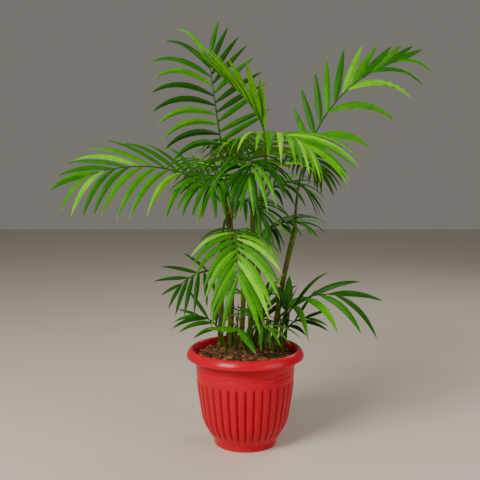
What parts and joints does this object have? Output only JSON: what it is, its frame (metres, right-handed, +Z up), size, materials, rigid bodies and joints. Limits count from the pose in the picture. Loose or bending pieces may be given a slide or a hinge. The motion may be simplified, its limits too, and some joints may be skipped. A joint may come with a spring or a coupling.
{
  "type": "potted areca palm",
  "caption": "Areca palm with a clump of leaning canes and arching feather fronds, in bark chips in a fluted red plastic pot with a broad rolled rim.",
  "frame": {"origin": "centre of the pot's flat underside", "axes": "+Z up, -Y towards the side seen in the picture"},
  "size_m": [1.0105, 0.7897, 1.1259],
  "materials": {
    "pot": "gloss",
    "potting_mix": "matte",
    "cane": "satin",
    "stem": "satin",
    "leaf_deep": "satin",
    "leaf_mid": "satin",
    "leaf_bright": "satin"
  },
  "bodies": {
    "root": {"pot": "pot", "potting_mix": "potting_mix", "cane_left_main": "cane", "cane_left_outer": "cane", "cane_right": "cane", "cane_back_left": "cane", "cane_back_right": "cane", "cane_centre": "cane", "stem_top_left": "stem", "stem_top_bright": "stem", "stem_left": "stem", "stem_right": "stem", "stem_centre_front": "stem", "stem_front_hanging": "stem", "stem_low_left": "stem", "stem_low_right": "stem", "stem_back": "stem", "stem_back_left": "stem", "stem_back_right": "stem", "stem_low_back": "stem", "stem_centre_right": "stem", "stem_centre_low": "stem", "stem_centre_left": "stem", "stem_centre_back": "stem", "stem_centre_dark": "stem", "stem_low_left_small": "stem", "stem_low_right_small": "stem", "stem_low_centre_right": "stem", "stem_low_front": "stem", "stem_low_middle": "stem", "stem_young_shoot": "stem", "stem_front_shoot": "stem", "frond_top_left": "leaf_deep", "frond_top_bright": "leaf_bright", "frond_left": "leaf_mid", "frond_right": "leaf_mid", "frond_centre_front": "leaf_bright", "frond_front_hanging": "leaf_bright", "frond_low_left": "leaf_deep", "frond_low_right": "leaf_deep", "frond_back": "leaf_deep", "frond_back_left": "leaf_mid", "frond_back_right": "leaf_deep", "frond_low_back": "leaf_mid", "frond_centre_right": "leaf_deep", "frond_centre_low": "leaf_deep", "frond_centre_left": "leaf_mid", "frond_centre_back": "leaf_deep", "frond_centre_dark": "leaf_deep", "frond_low_left_small": "leaf_deep", "frond_low_right_small": "leaf_deep", "frond_low_centre_right": "leaf_deep", "frond_low_front": "leaf_deep", "frond_low_middle": "leaf_deep", "frond_young_shoot": "leaf_deep", "frond_front_shoot": "leaf_bright"}
  },
  "joints": []
}
